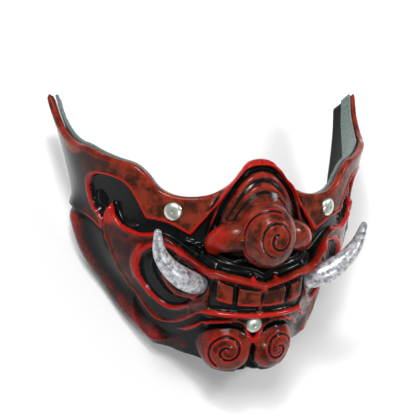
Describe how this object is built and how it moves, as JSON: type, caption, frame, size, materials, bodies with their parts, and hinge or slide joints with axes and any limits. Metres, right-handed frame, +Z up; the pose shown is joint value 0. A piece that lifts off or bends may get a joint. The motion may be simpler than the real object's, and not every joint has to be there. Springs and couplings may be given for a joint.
{
  "type": "samurai half mask face guard",
  "caption": "Moulded half mask for the nose, cheeks and chin, with tusks, domed rivets and a felt lining, open at the back for the face.",
  "frame": {"origin": "on the floor, below the middle of the mask's box as it lies on the rim of its jaw", "axes": "+X towards the wearer's left side, -Y towards the chin, +Z up from the floor; the nose points up and to -Y"},
  "size_m": [0.1918, 0.1666, 0.1084],
  "materials": {
    "shell_lacquer": "cast resin, black with red lacquer rubbed back on the ridges, glossy",
    "tusk": "cast resin, mottled grey-white, glossy",
    "rivet": "nickel-plated domed cap, satin",
    "lining_felt": "grey-green felt"
  },
  "bodies": {
    "root": {"shell": "shell_lacquer", "tusk_right": "tusk", "tusk_left": "tusk", "stud_cheek_right": "rivet", "stud_cheek_left": "rivet", "stud_chin": "rivet", "lining_right": "lining_felt", "lining_left": "lining_felt"}
  },
  "joints": []
}
